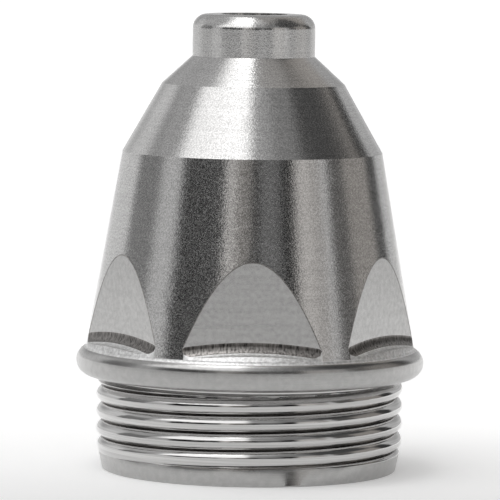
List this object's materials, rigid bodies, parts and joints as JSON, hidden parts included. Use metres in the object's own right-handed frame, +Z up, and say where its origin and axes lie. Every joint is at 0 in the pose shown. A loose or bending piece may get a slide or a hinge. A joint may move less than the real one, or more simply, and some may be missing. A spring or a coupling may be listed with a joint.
{
  "type": "plasma torch nozzle",
  "caption": "Tapered metal nozzle for a plasma cutting torch, with an orifice at the tip, milled wrench flats, a round flange and a fine-threaded hollow shank.",
  "frame": {"origin": "centre of the threaded end face, on which the nozzle stands", "axes": "+Z up the nozzle's axis towards the tip, and one wrench flat faces -Y"},
  "size_m": [0.02, 0.02, 0.0263],
  "materials": {
    "metal": "satin turned body, polished flange and thread, nickel-plated copper"
  },
  "bodies": {
    "root": {"nozzle": "metal"}
  },
  "joints": []
}
